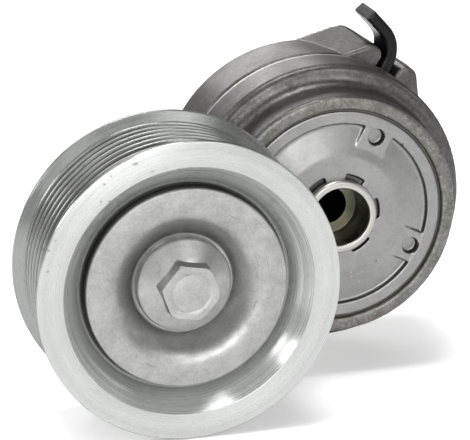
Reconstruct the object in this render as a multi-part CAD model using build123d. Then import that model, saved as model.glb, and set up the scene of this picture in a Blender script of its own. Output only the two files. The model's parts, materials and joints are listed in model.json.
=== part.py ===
"""Automatic belt tensioner with a grooved idler pulley, as separate pieces.

Frame: the pivot axis lies along Y.  The origin is the centre of the pivot bore on the
rear mounting face, -Y points to the front (the pulley side) and +Z points up.
Every station along the axis is a distance FORWARD of the mounting face, in millimetres,
so a station f lies at y = -f.
"""
from build123d import *
from math import atan, cos, degrees, hypot, pi, radians, sin, sqrt
import os

# ---------------------------------------------------------------- driving dimensions
# Pivot and pulley axes
PULLEY_X = -54.8
PULLEY_Z = -6.5

# Stations forward of the mounting face
FLOOR = 5.0
SEAM = 18.6
SEAM_GAP = 0.3
SHOULDER = 33.6
WEB_BACK = 34.0
WEB_FRONT = 40.0
PLATE_BACK = 41.6
PLATE_FRONT = 46.15
RING_FRONT = 46.75
TUBE_FRONT = 48.8
LEVER_BACK = 25.0
LEVER_FRONT = 44.6
PULLEY_BACK = 48.9
PULLEY_WIDTH = 34.4
PULLEY_FRONT = PULLEY_BACK + PULLEY_WIDTH
PULLEY_MID = PULLEY_BACK + PULLEY_WIDTH / 2

# Spring housing
HOUSING_R = 42.1
HOUSING_WALL = 4.0
HOUSING_BOSS_R = 14.0
HOUSING_BOSS_TOP = 9.0
REAR_ROUND = 1.6
FLOOR_ROUND = 0.8
REAR_RECESS = 1.2
REAR_RECESS_IN_R = 20.0
REAR_RECESS_OUT_R = 34.0
EDGE_CHAMFER = 0.8

# Hook lugs on the housing, about the direction LUG_ANGLE
LUG_ANGLE = 55.8
LUG_FLAT = 46.8
LUG_FOOT = 35.0
LUG_FLARE = 10.2
LUG_HALF_FRONT = 8.4
LUG_HALF_REAR = 13.2
LUG_ROUND = 2.6
SLOT_LEFT = -3.6
SLOT_RIGHT = 3.4
SLOT_BACK = 4.2

# Locating pin in the rear face
PIN_R = 4.0
PIN_SHANK_R = 3.5
PIN_OUT = 6.0
PIN_PAD_R = 8.0
PIN_CHAMFER = 0.8
PIN_RELIEF_R = 4.5
PIN_RELIEF = 0.4
PIN_AT_R = 27.0
PIN_ANGLE = 250.0

# Flat-strip torsion spring; headings are measured with the lug direction pointing up
STRIP_T = 3.6
STRIP_BACK = 5.4
STRIP_FRONT = 17.9
COIL_OUT_R = 34.9
COIL_IN_R = 21.1
COIL_PITCH = 5.5
COIL_START = 96.4
ROOT_BEND_R = 4.5
LEG_HEADING = 95.0
LEG_LENGTH = 4.9
HOOK_BEND_R = 8.8
HOOK_HEADING = 166.0
HOOK_TAIL = 7.0
TANG_BEND_R = 3.6
TANG_LENGTH = 2.3
TANG_SLACK = 0.8
TANG_SLOT_DEPTH = 4.1
COIL_TURNS = (COIL_OUT_R - COIL_IN_R) / COIL_PITCH
COIL_END = COIL_START + 360 * COIL_TURNS

# Pivot tube, bushes and thrust washers
TUBE_R = 11.0
SPIGOT_R = 10.4
STAKED_R = 11.1
STAKED_ROUND = 0.9
BOLT_HOLE_R = 5.5
COUNTERBORE_R = 8.7
COUNTERBORE_DEPTH = 12.6
RUNNING_GAP = 0.05
BUSH_R = 12.5
BUSH_LENGTH = 10.0
BUSH_RECESS = 0.3
HUB_R = 18.3
WASHER_T = 1.4
WASHER_R = 17.0
DISC_BORE_R = 17.5
DISC_LIP_FRONT = 45.8
LIP_GAP = 0.08

# Arm drum and ring
RING_R = 36.1
RING_BORE_R = 31.95
SKIRT_BORE_R = 37.0
SKIRT_CORNER = 1.9
RING_FILLET = 4.0
RIB_COUNT = 6
RIB_T = 4.0
RIB_BACK = 21.1

# Swing stop: a tab on the arm runs in a sector of the housing rim
SWING = 60.0
STOP_ANGLE = 150.0
STOP_WIDTH = 8.0
STOP_DEPTH = 2.4
STOP_CLEAR = 0.6
STOP_WALL = 0.9
STOP_TAB_IN_R = 38.4
STOP_TAB_OUT_R = 40.3

# Lever and pulley post
LEVER_ROOT_HALF = 21.0
LEVER_TIP_R = 15.5
LEVER_WALL = 3.5
LEVER_RIB_T = 3.0
LEVER_BOSS_R = 10.0
LEVER_FLOOR = 37.0
LEVER_ROUND = 1.2
POST_R = 11.5
POST_TOP = 58.1

# Front plate
PLATE_R = 31.4
PLATE_RIM_R = 27.6
PLATE_STEP = 1.5
PLATE_FOOT_ROUND = 0.9
PLATE_HUB_R = 17.8
PLATE_HUB_FRONT = 46.6
PLATE_HUB_ROUND = 8.0
PAD_ANGLES = (63.0, 153.0, 243.0, 333.0)
PAD_HALF = 4.7
PAD_DROP = 0.15
PAD_INNER_R = 19.5
PAD_HOLE_R = 2.5
PAD_HOLE_AT = 25.4
PAD_HOLE_DEPTH = 2.6
STAKE_COUNT = 6
STAKE_ANGLE = 5.5
STAKE_HALF = 14.5
STAKE_OUT_R = 12.6
STAKE_DEPTH = 1.3

# Pulley
PULLEY_R = 43.5
CREST_R = 40.5
GROOVE_PITCH = 3.56
GROOVE_COUNT = 8
GROOVE_HALF_TOP = 1.38
GROOVE_HALF_BOTTOM = 0.36
GROOVE_DEPTH = (GROOVE_HALF_TOP - GROOVE_HALF_BOTTOM) / 0.364
FLANGE_LAND = 1.6
FLANGE_FOOT = 2.9
FUNNEL_R = 36.1
FUNNEL_FLOOR_R = 30.4
FUNNEL_DEPTH = 7.4
FUNNEL_KNEE_R = 33.7
FUNNEL_KNEE_DEPTH = 3.6
FUNNEL_ROUND = 6.0
HUB_OUT_R = 28.4
RIM_IN_R = 34.6
POCKET_DEPTH = 17.0
POCKET_ROUND = 2.0
RIM_ROUND = 0.4
HUB_BACK = 55.5
LIP_R = 21.5
SNAP_SEAT_R = 24.7
SNAP_SEAT_W = 1.3
SNAP_IN_R = 21.5
SNAP_GAP = 0.04
SNAP_OPENING = 9.0

# Deep-groove ball bearing, 17 x 47 x 14
BEARING_BORE_R = 8.5
BEARING_R = 23.5
BEARING_W = 14.0
BALL_R = 4.3
BALL_ORBIT_R = 16.0
BALL_COUNT = 7
RACE_GAP = 0.08
INNER_SHOULDER_R = 12.8
OUTER_SHOULDER_R = 19.2
SEAL_SEAT_R = 20.2
SEAL_SEAT_W = 1.6
SEAL_T = 1.0
SEAL_INSET = 0.3
SEAL_LIP_GAP = 0.35
CAGE_HALF = 1.7
CAGE_SIDE = 0.7
BEARING_BACK = PULLEY_MID - BEARING_W / 2
BEARING_FRONT = PULLEY_MID + BEARING_W / 2

# Pulley bolt and dust cover
BOLT_R = 5.0
BOLT_LENGTH = 36.0
BOLT_SLACK = 0.02
BOLT_FLANGE_R = 13.7
FLANGE_EDGE_ROUND = 1.0
BOLT_POINT = 0.9
FLANGE_EDGE = 76.6
HEX_BASE = 79.6
HEX_TOP = 84.2
HEX_ACROSS_FLATS = 15.0
HEX_CHAMFER = 0.9
HEX_TURN = -10.0
COVER_T = 0.8
COVER_R = 29.0
COVER_FRONT = 79.8
COVER_FLAT_R = 20.0
COVER_DISH_R = 14.6
COVER_LIP = 3.2
COVER_HOLE_GAP = 0.3
COVER_EDGE_ROUND = 0.5
COVER_BEND = 2.0


# ---------------------------------------------------------------- helpers
def turned(profile, rounds=()):
    """Revolve a closed (radius, station) outline about Y; rounds are (radius, station, size)."""
    face = make_face(Polyline(*[(r, -f) for r, f in profile], close=True))
    for corner_r, corner_f, size in rounds:
        corner = [v for v in face.vertices() if hypot(v.X - corner_r, v.Y + corner_f) < 1e-4]
        face = fillet(corner, size)
    return revolve(face, Axis.Y)


def ring(r_in, r_out, back, front):
    """A plain ring between two radii and two stations."""
    return turned([(r_in, back), (r_out, back), (r_out, front), (r_in, front)])


def slab(sketch, back, front):
    """Extrude a sketch drawn in X and Z from one station to another."""
    return extrude(Plane.XZ.offset(back) * sketch, front - back)


def outline(points):
    """A flat face from corner points in X and Z."""
    return make_face(Polyline(*points, close=True))


def about(angle, solid):
    """Turn a solid about the pivot axis, anticlockwise as seen from the front."""
    return Rot(0, -angle, 0) * solid


def at_pulley(solid):
    """Move a solid drawn about the pivot axis onto the pulley axis."""
    return Pos(PULLEY_X, 0, PULLEY_Z) * solid


def sector(r_in, r_out, start, end, back, front):
    """An annular sector between two angles in degrees."""
    angles = [radians(a) for a in (start, (start + end) / 2, end)]
    inner = [(r_in * cos(a), r_in * sin(a)) for a in angles]
    outer = [(r_out * cos(a), r_out * sin(a)) for a in angles]
    edges = [ThreePointArc(*inner), Line(inner[2], outer[2])]
    edges += [ThreePointArc(*reversed(outer)), Line(outer[0], inner[0])]
    return slab(make_face(edges), back, front)


def write(name, *solids):
    """Write one node, a solid or a group of identical solids, to its STEP file."""
    shape = solids[0] if len(solids) == 1 else Compound(children=list(solids))
    export_step(shape, os.path.join("parts", name + ".step"))


# ---------------------------------------------------------------- base pieces
def lug_face(half):
    """Trapezoid of the lug block, drawn with the lug direction pointing up."""
    foot = half + LUG_FLARE
    return outline([(-foot, LUG_FOOT), (foot, LUG_FOOT), (half, LUG_FLAT), (-half, LUG_FLAT)])


def spring_housing():
    """Die-cast cup with the two hook lugs, the hook slot, the stop sector and the centre boss."""
    wall_r = HOUSING_R - HOUSING_WALL
    cup = turned([(TUBE_R, 0), (HOUSING_R, 0), (HOUSING_R, SEAM), (wall_r, SEAM), (wall_r, FLOOR),
                  (HOUSING_BOSS_R, FLOOR), (HOUSING_BOSS_R, HOUSING_BOSS_TOP), (TUBE_R, HOUSING_BOSS_TOP)],
                 [(HOUSING_R, 0, REAR_ROUND), (wall_r, FLOOR, FLOOR_ROUND)])
    rear = Plane.XZ * lug_face(LUG_HALF_REAR)
    front = Plane.XZ.offset(SEAM) * lug_face(LUG_HALF_FRONT)
    lugs = loft(Sketch() + [rear, front])
    tops = [e for e in lugs.edges() if e.length > SEAM - 1 and e.center().Z > LUG_FLAT - 1]
    lugs = fillet(tops, LUG_ROUND)
    lugs = about(LUG_ANGLE - 90, lugs - slab(Circle(HOUSING_R - 1), -1, SEAM + 1))
    slot = Rectangle(SLOT_RIGHT - SLOT_LEFT, LUG_FLAT, align=(Align.MIN, Align.MIN))
    slot = slab(Pos(SLOT_LEFT, wall_r - HOUSING_WALL) * slot, SLOT_BACK, SEAM + 1)
    cup = cup + lugs - about(LUG_ANGLE - 90, slot)
    tall = [e for e in cup.edges() if e.bounding_box().size.Y > SEAM - SLOT_BACK - 1]
    mouth = [e for e in tall if abs(e.center().Y + (SLOT_BACK + SEAM) / 2) < 1.5]
    cup = fillet([e for e in mouth if hypot(e.center().X, e.center().Z) > LUG_FLAT - 1], LUG_ROUND)
    start = STOP_ANGLE - STOP_WIDTH / 2 - STOP_CLEAR
    end = STOP_ANGLE + SWING + STOP_WIDTH / 2 + STOP_CLEAR
    cup -= sector(wall_r - 1, HOUSING_R - STOP_WALL, start, end, SEAM - STOP_DEPTH - STOP_CLEAR, SEAM + 1)
    cup -= ring(REAR_RECESS_IN_R, REAR_RECESS_OUT_R, -1, REAR_RECESS)
    cup += slab(Pos(*pin_place()) * Circle(PIN_PAD_R), 0, REAR_RECESS + 0.5)
    cup -= slab(Pos(*pin_place()) * Circle(PIN_RELIEF_R), -1, PIN_RELIEF)
    return cup - slab(Pos(*pin_place()) * Circle(PIN_SHANK_R), -1, FLOOR + 1)


def pin_place():
    """Centre of the locating pin in X and Z."""
    return PIN_AT_R * cos(radians(PIN_ANGLE)), PIN_AT_R * sin(radians(PIN_ANGLE))


def locating_pin():
    """Dowel that stops the housing turning on the engine."""
    pin = slab(Circle(PIN_R), -PIN_OUT, 0)
    pin = chamfer(pin.edges().group_by(Axis.Y)[-1], PIN_CHAMFER)
    pin += slab(Circle(PIN_SHANK_R), -1, FLOOR - 0.2)
    return Pos(pin_place()[0], 0, pin_place()[1]) * pin


def pivot_tube():
    """Steel tube pressed into the housing, counterbored for the bolt's head, staked over the plate."""
    ledge = TUBE_FRONT - COUNTERBORE_DEPTH
    return turned([(BOLT_HOLE_R, 0), (TUBE_R, 0), (TUBE_R, PLATE_BACK), (SPIGOT_R, PLATE_BACK),
                   (SPIGOT_R, PLATE_HUB_FRONT), (STAKED_R, PLATE_HUB_FRONT), (STAKED_R, TUBE_FRONT),
                   (COUNTERBORE_R, TUBE_FRONT), (COUNTERBORE_R, ledge), (BOLT_HOLE_R, ledge)],
                  [(STAKED_R, TUBE_FRONT, STAKED_ROUND), (COUNTERBORE_R, TUBE_FRONT, 0.5)])


def front_plate():
    """Fixed cover plate staked to the tube: flat hub, shallow cone, raised rim, four drilled pads."""
    foot = PLATE_FRONT - PLATE_STEP
    plate = turned([(SPIGOT_R, PLATE_BACK), (PLATE_R, PLATE_BACK), (PLATE_R, PLATE_FRONT),
                    (PLATE_RIM_R, PLATE_FRONT), (PLATE_RIM_R, foot), (PLATE_HUB_R, PLATE_HUB_FRONT),
                    (SPIGOT_R, PLATE_HUB_FRONT)],
                   [(PLATE_R, PLATE_FRONT, 0.4), (PLATE_RIM_R, PLATE_FRONT, 0.35),
                    (PLATE_RIM_R, foot, PLATE_FOOT_ROUND), (PLATE_HUB_R, PLATE_HUB_FRONT, PLATE_HUB_ROUND)])
    for angle in PAD_ANGLES:
        length = PLATE_RIM_R + 0.5 - PAD_INNER_R
        pad = Pos(PAD_INNER_R + length / 2, 0) * Rectangle(length, 2 * PAD_HALF)
        plate += about(angle, slab(pad, foot - PLATE_STEP, PLATE_FRONT - PAD_DROP))
    for angle in PAD_ANGLES:
        hole = slab(Pos(PAD_HOLE_AT, 0) * Circle(PAD_HOLE_R), PLATE_FRONT - PAD_HOLE_DEPTH, PLATE_FRONT + 1)
        plate -= about(angle, hole)
    for i in range(STAKE_COUNT):
        middle = STAKE_ANGLE + i * 360 / STAKE_COUNT
        plate -= sector(SPIGOT_R - 0.5, STAKE_OUT_R, middle - STAKE_HALF, middle + STAKE_HALF,
                        PLATE_HUB_FRONT - STAKE_DEPTH, PLATE_HUB_FRONT + 1)
    return plate


def stepped(point, heading, distance):
    """The point a distance away along a heading in degrees."""
    return (point[0] + distance * cos(radians(heading)), point[1] + distance * sin(radians(heading)))


def coil_point(part):
    """Centreline point and inward heading of the spiral, part running from 0 outside to 1 inside."""
    angle = COIL_START + 360 * COIL_TURNS * part
    radius = COIL_OUT_R + (COIL_IN_R - COIL_OUT_R) * part
    lead = degrees(atan(COIL_PITCH / (2 * pi * radius)))
    return stepped((0, 0), angle, radius), angle + 90 + lead


def parallel(track, shift):
    """Edges parallel to a list of straight and left-turning pieces, shifted to their left."""
    edges = []
    for point, heading, length, bend in track:
        begin = stepped(point, heading + 90, shift)
        if bend == 0:
            edges.append(Line(begin, stepped(begin, heading, length)))
            continue
        centre = stepped(point, heading + 90, bend)
        sides = [stepped(centre, heading - 90 + length * part, bend - shift) for part in (0, 0.5, 1)]
        edges.append(ThreePointArc(*sides))
    return edges


def end_of(track):
    """Point and heading where the last piece of a track ends."""
    point, heading, length, bend = track[-1]
    if bend == 0:
        return stepped(point, heading, length), heading
    centre = stepped(point, heading + 90, bend)
    return stepped(centre, heading - 90 + length, bend), heading + length


def torsion_spring():
    """Flat strip: hook tail and leg, root bend, spiral, and the tang that enters the arm's hub."""
    start, inward = coil_point(0)
    outward = inward - 180
    tail = [(start, outward, LEG_HEADING - outward, ROOT_BEND_R)]
    tail.append((*end_of(tail), LEG_LENGTH, 0))
    tail.append((*end_of(tail), HOOK_HEADING - LEG_HEADING, HOOK_BEND_R))
    tail.append((*end_of(tail), HOOK_TAIL, 0))
    inner, heading = coil_point(1)
    tang = [(inner, heading, COIL_END + 180 - heading, TANG_BEND_R)]
    tang.append((*end_of(tang), TANG_LENGTH, 0))
    half = STRIP_T / 2
    samples = 24 * round(COIL_TURNS)
    edges = parallel(tail, half) + parallel(tail, -half) + parallel(tang, half) + parallel(tang, -half)
    for shift in (half, -half):
        points = []
        for i in range(samples + 1):
            point, heading = coil_point(i / samples)
            points.append(stepped(point, heading + 90, shift))
        edges.append(Spline(*points))
    for track in (tail, tang):
        point, heading = end_of(track)
        edges.append(Line(stepped(point, heading + 90, half), stepped(point, heading - 90, half)))
    strip = slab(make_face(edges), STRIP_BACK, STRIP_FRONT)
    return about(LUG_ANGLE - 90, strip)


def rear_washer():
    """Thrust washer between the housing's boss and the arm's hub."""
    return ring(TUBE_R + RUNNING_GAP, HOUSING_BOSS_R, HOUSING_BOSS_TOP, HOUSING_BOSS_TOP + WASHER_T)


def friction_disc():
    """Damping disc between the front plate and the arm's ring, with a thin lip round the plate."""
    lip_r = RING_BORE_R - LIP_GAP
    back = WEB_FRONT + RUNNING_GAP
    return turned([(DISC_BORE_R, back), (lip_r, back), (lip_r, DISC_LIP_FRONT), (PLATE_R, DISC_LIP_FRONT),
                   (PLATE_R, PLATE_BACK), (DISC_BORE_R, PLATE_BACK)])


def front_washer():
    """Thrust washer between the front plate and the arm's hub."""
    return ring(TUBE_R + RUNNING_GAP, WASHER_R, PLATE_BACK - WASHER_T, PLATE_BACK)


def spring_guard():
    """Plastic disc that keeps the turning arm off the front edges of the spring."""
    return ring(HUB_R + 0.4, SKIRT_BORE_R - 0.6, STRIP_FRONT + 0.1, STRIP_FRONT + 1.3)


# ---------------------------------------------------------------- arm pieces
def lever_outline(tip_r, root_half):
    """Tapered lever from the drum to the post, drawn with the pulley towards +X."""
    reach = hypot(PULLEY_X, PULLEY_Z)
    body = outline([(0, -root_half), (reach, -tip_r), (reach, tip_r), (0, root_half)])
    return body + Pos(reach, 0) * Circle(tip_r)


def lever_angle():
    """Direction of the lever from the pivot axis, in degrees."""
    return 180 + degrees(atan(PULLEY_Z / PULLEY_X))


def lever():
    """Tapered lever with a hollow back, a centre rib and a boss under the post, towards +X."""
    reach = hypot(PULLEY_X, PULLEY_Z)
    body = slab(lever_outline(LEVER_TIP_R, LEVER_ROOT_HALF), LEVER_BACK, LEVER_FRONT)
    body = fillet(body.edges().group_by(Axis.Y)[0], LEVER_ROUND)
    hollow = lever_outline(LEVER_TIP_R - LEVER_WALL, LEVER_ROOT_HALF - LEVER_WALL)
    body -= slab(hollow, LEVER_BACK - 1, LEVER_FLOOR)
    body += slab(Pos(reach / 2, 0) * Rectangle(reach, LEVER_RIB_T), LEVER_BACK, LEVER_FLOOR + 1)
    body += slab(Pos(reach, 0) * Circle(LEVER_BOSS_R), LEVER_BACK, LEVER_FLOOR + 1)
    return body - slab(Circle(HOUSING_R - 3), -1, PULLEY_FRONT)


def tensioner_arm():
    """Die-cast arm: drum, ring, hub, ribs, lever with a lightening pocket, and the pulley post."""
    back = SEAM + SEAM_GAP
    arm = turned([(BUSH_R, HOUSING_BOSS_TOP + WASHER_T), (HUB_R, HOUSING_BOSS_TOP + WASHER_T),
                  (HUB_R, WEB_BACK), (SKIRT_BORE_R, WEB_BACK - 1), (SKIRT_BORE_R, back),
                  (HOUSING_R - EDGE_CHAMFER / 2, back), (HOUSING_R, back + EDGE_CHAMFER / 2),
                  (HOUSING_R, SHOULDER), (RING_R, SHOULDER + 0.6), (RING_R, RING_FRONT),
                  (RING_BORE_R, RING_FRONT), (RING_BORE_R, WEB_FRONT), (BUSH_R, WEB_FRONT)],
                 [(HOUSING_R, SHOULDER, SKIRT_CORNER), (RING_R, SHOULDER + 0.6, RING_FILLET - 0.6),
                  (RING_R, RING_FRONT, 0.8), (HUB_R, WEB_BACK, 2.0)])
    arm += about(lever_angle(), lever())
    arm += at_pulley(ring(BOLT_R, POST_R, LEVER_FRONT - 3, POST_TOP))
    arm += at_pulley(ring(BOLT_R, BEARING_BORE_R, POST_TOP, BEARING_FRONT - 1))
    arm -= at_pulley(slab(Circle(BOLT_R + BOLT_SLACK), BEARING_FRONT - BOLT_LENGTH - 1, PULLEY_FRONT))
    arm -= ring(PLATE_R - 2, RING_BORE_R, WEB_FRONT, PULLEY_FRONT)
    rib = Rectangle(SKIRT_BORE_R - HUB_R + 1, RIB_T, align=(Align.MIN, Align.CENTER))
    rib = slab(Pos(HUB_R - 0.5, 0) * rib, RIB_BACK, WEB_BACK + 0.5)
    for i in range(RIB_COUNT):
        arm += about(lever_angle() + i * 360 / RIB_COUNT, rib)
    arm += sector(STOP_TAB_IN_R, STOP_TAB_OUT_R, STOP_ANGLE - STOP_WIDTH / 2, STOP_ANGLE + STOP_WIDTH / 2,
                  SEAM - STOP_DEPTH, back + 0.5)
    slot_w = STRIP_T + TANG_SLACK
    slot = Rectangle(2 * TANG_SLOT_DEPTH, slot_w, align=(Align.MIN, Align.MIN))
    slot = Pos(HUB_R - TANG_SLOT_DEPTH, TANG_BEND_R - slot_w / 2) * slot
    slot = slab(slot, HOUSING_BOSS_TOP, STRIP_FRONT + TANG_SLACK / 2)
    return arm - about(COIL_END + LUG_ANGLE - 90, slot)


def pivot_bush(back):
    """Plain bush pressed in the arm's hub and running on the tube."""
    return ring(TUBE_R + RUNNING_GAP, BUSH_R, back, back + BUSH_LENGTH)


def inner_ring():
    """Inner bearing ring with its raceway."""
    body = turned([(BEARING_BORE_R, BEARING_BACK), (INNER_SHOULDER_R, BEARING_BACK),
                   (INNER_SHOULDER_R, BEARING_FRONT), (BEARING_BORE_R, BEARING_FRONT)],
                  [(INNER_SHOULDER_R, BEARING_BACK, 0.4), (INNER_SHOULDER_R, BEARING_FRONT, 0.4)])
    return at_pulley(body - raceway())


def raceway():
    """Torus that cuts the groove the balls run in."""
    return Pos(0, -PULLEY_MID, 0) * Rot(90, 0, 0) * Torus(BALL_ORBIT_R, BALL_R + RACE_GAP)


def outer_ring():
    """Outer bearing ring with its raceway and the seats of both seals."""
    body = turned([(OUTER_SHOULDER_R, BEARING_BACK + SEAL_SEAT_W),
                   (SEAL_SEAT_R, BEARING_BACK + SEAL_SEAT_W), (SEAL_SEAT_R, BEARING_BACK),
                   (BEARING_R, BEARING_BACK), (BEARING_R, BEARING_FRONT),
                   (SEAL_SEAT_R, BEARING_FRONT), (SEAL_SEAT_R, BEARING_FRONT - SEAL_SEAT_W),
                   (OUTER_SHOULDER_R, BEARING_FRONT - SEAL_SEAT_W)],
                  [(BEARING_R, BEARING_BACK, 0.6), (BEARING_R, BEARING_FRONT, 0.6)])
    return at_pulley(body - raceway())


def bearing_seal(back):
    """Rubber-lipped seal pressed in the outer ring."""
    return at_pulley(ring(INNER_SHOULDER_R + SEAL_LIP_GAP, SEAL_SEAT_R, back, back + SEAL_T))


def balls():
    """The bearing's balls on their orbit."""
    placed = []
    for i in range(BALL_COUNT):
        angle = radians(i * 360 / BALL_COUNT)
        centre = Pos(BALL_ORBIT_R * cos(angle), -PULLEY_MID, BALL_ORBIT_R * sin(angle))
        placed.append(at_pulley(centre * Sphere(BALL_R)))
    return placed


def bearing_cage():
    """Moulded ring that spaces the balls."""
    half_w = BALL_R + CAGE_SIDE
    cage = ring(BALL_ORBIT_R - CAGE_HALF, BALL_ORBIT_R + CAGE_HALF,
                PULLEY_MID - half_w, PULLEY_MID + half_w)
    for i in range(BALL_COUNT):
        angle = radians(i * 360 / BALL_COUNT)
        pocket = Pos(BALL_ORBIT_R, -PULLEY_MID, 0) * Rot(0, 90, 0) * Cylinder(BALL_R + RACE_GAP, 8)
        cage -= about(degrees(angle), pocket)
    return at_pulley(cage)


def rear_shield():
    """Pressed disc between the post's shoulder and the bearing."""
    return at_pulley(ring(BEARING_BORE_R + 0.02, LIP_R - 0.5, POST_TOP, BEARING_BACK))


def dust_cover():
    """Pressed cover: clamped centre, dished cone, flat annulus and a rolled outer lip."""
    seat = BEARING_FRONT
    inner = COVER_FRONT - COVER_T
    lip_back = COVER_FRONT - COVER_LIP
    hole_r = BOLT_R + COVER_HOLE_GAP
    profile = [(hole_r, seat), (COVER_DISH_R + 0.3, seat), (COVER_FLAT_R, inner)]
    profile += [(COVER_R - COVER_T, inner), (COVER_R - COVER_T, lip_back), (COVER_R, lip_back)]
    profile += [(COVER_R, COVER_FRONT)]
    profile += [(COVER_FLAT_R - 0.3, COVER_FRONT), (COVER_DISH_R, seat + COVER_T), (hole_r, seat + COVER_T)]
    rounds = [(COVER_R, COVER_FRONT, COVER_EDGE_ROUND), (COVER_FLAT_R - 0.3, COVER_FRONT, COVER_BEND),
              (COVER_FLAT_R, inner, COVER_BEND)]
    return at_pulley(turned(profile, rounds))


def pulley_bolt():
    """Flange bolt that clamps the cover and the bearing to the post: cone flange, hexagon, shank."""
    seat = BEARING_FRONT + COVER_T
    flat_r = HEX_ACROSS_FLATS / 2
    corner_r = HEX_ACROSS_FLATS / sqrt(3)
    flange = turned([(0, seat), (BOLT_FLANGE_R, seat), (BOLT_FLANGE_R, FLANGE_EDGE), (flat_r, HEX_BASE),
                     (0, HEX_BASE)],
                    [(BOLT_FLANGE_R, FLANGE_EDGE, FLANGE_EDGE_ROUND)])
    head = slab(Rot(0, 0, HEX_TURN) * RegularPolygon(corner_r, 6), HEX_BASE - 1, HEX_TOP)
    head &= turned([(0, seat), (corner_r + 1, seat), (corner_r + 1, HEX_TOP - HEX_CHAMFER),
                    (flat_r - 0.2, HEX_TOP), (0, HEX_TOP)])
    shank = slab(Circle(BOLT_R), seat - BOLT_LENGTH, seat + 0.5)
    shank = chamfer(shank.edges().group_by(Axis.Y)[-1], BOLT_POINT)
    return at_pulley(flange + head + shank)


# ---------------------------------------------------------------- pulley pieces
def pulley_rim():
    """Turned pulley: flanges, V grooves, front funnel, bearing bore with rear lip, rear pocket."""
    root_r = CREST_R - GROOVE_DEPTH
    profile = [(CREST_R, PULLEY_BACK + FLANGE_FOOT)]
    for i in range(GROOVE_COUNT):
        middle = PULLEY_MID + (i - (GROOVE_COUNT - 1) / 2) * GROOVE_PITCH
        profile += [(CREST_R, middle - GROOVE_HALF_TOP), (root_r, middle - GROOVE_HALF_BOTTOM)]
        profile += [(root_r, middle + GROOVE_HALF_BOTTOM), (CREST_R, middle + GROOVE_HALF_TOP)]
    floor = PULLEY_FRONT - FUNNEL_DEPTH
    knee = (FUNNEL_KNEE_R, PULLEY_FRONT - FUNNEL_KNEE_DEPTH)
    pocket = PULLEY_BACK + POCKET_DEPTH
    profile += [(CREST_R, PULLEY_FRONT - FLANGE_FOOT), (PULLEY_R, PULLEY_FRONT - FLANGE_LAND)]
    profile += [(PULLEY_R, PULLEY_FRONT), (FUNNEL_R, PULLEY_FRONT), knee, (FUNNEL_FLOOR_R, floor)]
    profile += [(BEARING_R + 1.5, floor), (BEARING_R, floor - 0.6), (BEARING_R, BEARING_BACK)]
    profile += [(LIP_R, BEARING_BACK), (LIP_R, HUB_BACK), (HUB_OUT_R, HUB_BACK), (HUB_OUT_R, pocket)]
    profile += [(RIM_IN_R, pocket), (RIM_IN_R, PULLEY_BACK), (PULLEY_R, PULLEY_BACK)]
    profile += [(PULLEY_R, PULLEY_BACK + FLANGE_LAND)]
    rounds = [(PULLEY_R, PULLEY_FRONT, RIM_ROUND), (PULLEY_R, PULLEY_BACK, RIM_ROUND)]
    rounds += [(*knee, FUNNEL_ROUND), (HUB_OUT_R, pocket, POCKET_ROUND), (RIM_IN_R, pocket, POCKET_ROUND)]
    groove = ring(BEARING_R - 1, SNAP_SEAT_R, BEARING_FRONT, BEARING_FRONT + SNAP_SEAT_W)
    return at_pulley(turned(profile, rounds) - groove)


def snap_ring():
    """Internal retaining ring in front of the bearing's outer ring."""
    front = BEARING_FRONT + SNAP_SEAT_W
    body = ring(SNAP_IN_R, SNAP_SEAT_R - SNAP_GAP, BEARING_FRONT + SNAP_GAP, front - SNAP_GAP)
    opening = slab(Pos(0, -BEARING_R) * Rectangle(SNAP_OPENING, 8), BEARING_FRONT - 1, front + 1)
    return at_pulley(body - opening)


# ---------------------------------------------------------------- export
os.makedirs("parts", exist_ok=True)
write("spring_housing", spring_housing())
write("locating_pin", locating_pin())
write("pivot_tube", pivot_tube())
write("front_plate", front_plate())
write("torsion_spring", torsion_spring())
write("rear_thrust_washer", rear_washer())
write("front_thrust_washer", front_washer())
write("friction_disc", friction_disc())
write("spring_guard", spring_guard())
write("tensioner_arm", tensioner_arm())
write("rear_pivot_bush", pivot_bush(HOUSING_BOSS_TOP + WASHER_T + BUSH_RECESS))
write("front_pivot_bush", pivot_bush(PLATE_BACK - WASHER_T - BUSH_LENGTH - BUSH_RECESS))
write("bearing_inner_ring", inner_ring())
write("bearing_outer_ring", outer_ring())
write("bearing_balls", *balls())
write("bearing_cage", bearing_cage())
write("rear_bearing_seal", bearing_seal(BEARING_BACK + SEAL_INSET))
write("front_bearing_seal", bearing_seal(BEARING_FRONT - SEAL_INSET - SEAL_T))
write("rear_shield", rear_shield())
write("dust_cover", dust_cover())
write("pulley_bolt", pulley_bolt())
write("pulley", pulley_rim())
write("snap_ring", snap_ring())
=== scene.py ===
"""Looks of the belt tensioner: fine meshes, procedural materials, studio light and camera.

Measures and mesh outlines are millimetres.  A station is a distance forward of the rear
mounting face, so station f lies at y = -f.  Meshes are scaled to metres when they are made;
the lights and the camera are placed in metres.
"""
import json
from math import cos, pi, radians, sin, tan

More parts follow.
